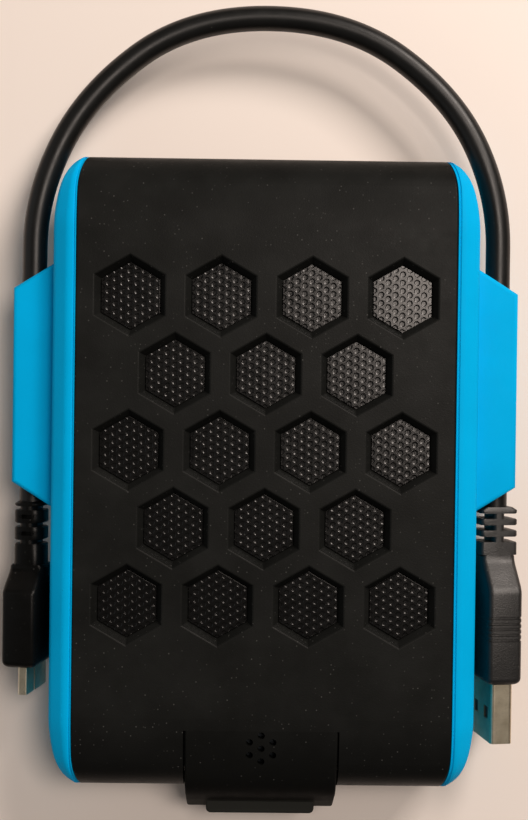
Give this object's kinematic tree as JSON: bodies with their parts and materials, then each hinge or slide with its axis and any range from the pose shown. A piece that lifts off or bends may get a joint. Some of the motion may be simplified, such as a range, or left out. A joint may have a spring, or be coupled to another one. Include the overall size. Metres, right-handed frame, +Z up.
{
  "type": "portable hard drive",
  "caption": "Rugged portable hard drive in a silicone jacket with hexagonal windows, a hinged port flap and a captive lead held in side wings.",
  "frame": {"origin": "centre of the back face of the body, on which the drive lies", "axes": "+X across the drive towards the larger plug, +Y along it from the port flap to the loop of the lead, +Z up out of the face with the windows"},
  "size_m": [0.1034, 0.1648, 0.0226],
  "materials": {
    "black_silicone": "soft satin",
    "blue_silicone": "soft satin",
    "case_plastic": "semi-gloss",
    "seal_rubber": "matt",
    "steel": "plain",
    "board": "satin",
    "black_insulator": "satin",
    "lamp": "clear",
    "chip": "matt",
    "clear_plastic": "translucent",
    "casting": "cast",
    "platter": "mirror",
    "copper": "enamelled wire",
    "magnet": "nickel plated",
    "white_plastic": "satin",
    "lead_jacket": "satin",
    "plug_grip": "satin",
    "gold": "gold plated"
  },
  "bodies": {
    "case": {"front_skin": "black_silicone", "back_skin": "black_silicone", "left_bumper": "blue_silicone", "right_bumper": "blue_silicone", "case_top": "case_plastic", "case_bottom": "case_plastic", "case_seal": "seal_rubber", "case_screws": "steel", "port_frame": "case_plastic", "bridge_board": "board", "usb_socket": "steel", "usb_socket_tongue": "black_insulator", "bridge_connector": "black_insulator", "status_led": "lamp", "bridge_chips": "chip", "light_guide": "clear_plastic", "drive_base": "casting", "drive_cover": "steel", "cover_screws": "steel", "pivot_post": "steel", "magnet_yoke": "steel", "lower_magnet": "magnet", "upper_magnet": "magnet", "parking_ramp": "white_plastic", "drive_board": "board", "drive_chips": "chip", "drive_connector": "black_insulator", "far_left_buffer": "seal_rubber", "far_right_buffer": "seal_rubber", "near_left_buffer": "seal_rubber", "near_right_buffer": "seal_rubber", "cable_lead": "lead_jacket", "usb_plug_body": "plug_grip", "usb_plug_shell": "steel", "usb_plug_tongue": "white_plastic", "usb_plug_contacts": "gold", "small_plug_body": "plug_grip", "small_plug_shell": "steel", "small_plug_tongue": "black_insulator"},
    "flap": {"port_flap": "black_silicone"},
    "discs": {"spindle_hub": "casting", "lower_platter": "platter", "platter_spacer": "casting", "upper_platter": "platter", "disc_clamp": "steel", "clamp_screw": "steel"},
    "head_arm": {"actuator_arm": "casting", "voice_coil": "copper", "read_heads": "chip"}
  },
  "joints": [
    {"name": "flap_hinge", "type": "hinge", "parent": "case", "child": "flap", "pos_m": [0, -0.0502, 0.0225], "axis": [-1, 0, 0], "range_deg": [0, 100], "stiffness_Nm_per_rad": 0.02},
    {"name": "disc_spin", "type": "hinge", "parent": "case", "child": "discs", "pos_m": [0, 0.02138, 0.0113], "axis": [0, 0, 1], "continuous": true},
    {"name": "arm_swing", "type": "hinge", "parent": "case", "child": "head_arm", "pos_m": [0.014, -0.01912, 0.0113], "axis": [0, 0, -1], "range_deg": [0, 33]}
  ]
}
